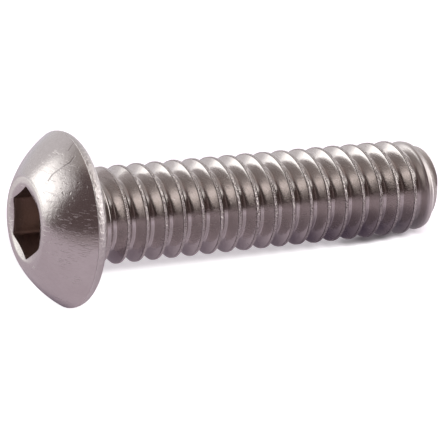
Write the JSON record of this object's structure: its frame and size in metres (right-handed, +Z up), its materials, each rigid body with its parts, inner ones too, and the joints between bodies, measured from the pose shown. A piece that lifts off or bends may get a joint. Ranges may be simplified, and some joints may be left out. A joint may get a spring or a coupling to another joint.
{
  "type": "button head screw",
  "caption": "Stainless steel button head socket screw with a hexagon socket, threaded over its whole shank, for clamping parts together.",
  "frame": {"origin": "centre of the lying screw's bounding box, at the level of the surface that it lies on", "axes": "+Z up from that surface, +X from the head towards the tip; the screw's own axis slopes down to the tip by 5.8 degrees"},
  "size_m": [0.0284, 0.011, 0.0108],
  "materials": {
    "stainless_steel": "satin, bright, with fine scratches"
  },
  "bodies": {
    "root": {"button_head_screw": "stainless_steel"}
  },
  "joints": []
}
